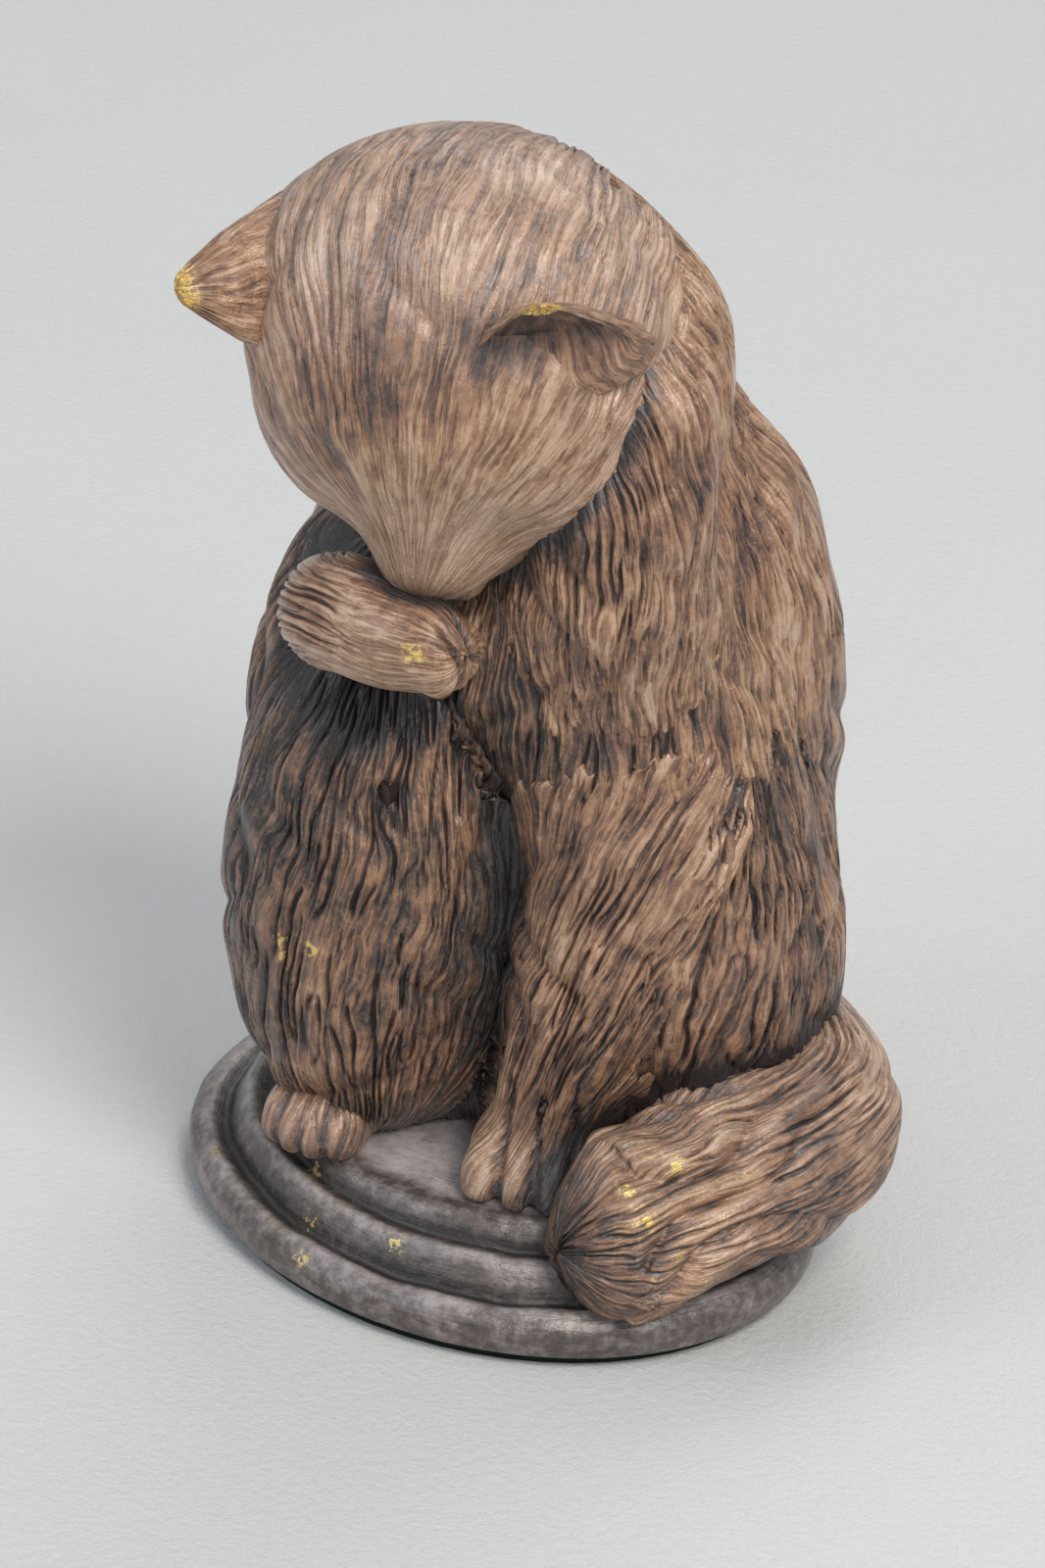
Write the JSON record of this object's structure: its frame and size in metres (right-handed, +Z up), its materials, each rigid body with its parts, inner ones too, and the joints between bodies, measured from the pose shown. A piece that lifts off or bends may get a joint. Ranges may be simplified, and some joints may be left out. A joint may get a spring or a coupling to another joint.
{
  "type": "cat figurine",
  "caption": "Patinated metal figurine of a seated long-haired cat licking its raised right forepaw, its tail wrapped round a stepped oval base with felt under it.",
  "frame": {"origin": "centre of the felt's underside, which is what the figurine stands on", "axes": "+Z up; -Y is the way the cat's chest and the viewer's side face, +X is the cat's own left"},
  "size_m": [0.0497, 0.0444, 0.0774],
  "materials": {
    "fur_bronze": "dark brown patina, rubbed to copper and gold on the tips of the fur",
    "base_bronze": "dark brown patina, satin, rubbed bright in flecks on the steps",
    "pin_brass": "bare turned brass rod",
    "steel": "plain",
    "felt": "dark green felt, glued on"
  },
  "bodies": {
    "root": {"felt_pad": "felt", "base_plinth": "base_bronze", "body_casting": "fur_bronze", "head_casting": "fur_bronze", "standing_foreleg": "fur_bronze", "raised_foreleg": "fur_bronze", "right_hind_foot": "fur_bronze", "left_hind_foot": "fur_bronze", "tail": "fur_bronze", "neck_dowel": "pin_brass", "raised_foreleg_dowel": "pin_brass", "standing_foreleg_dowel": "pin_brass", "tail_dowel": "pin_brass", "core_plug_right_haunch": "fur_bronze", "core_plug_right_flank": "fur_bronze", "core_plug_back_right": "fur_bronze", "core_plug_back_left": "fur_bronze", "fixing_screw_left": "steel", "washer_left": "steel", "fixing_screw_right": "steel", "washer_right": "steel"}
  },
  "joints": []
}
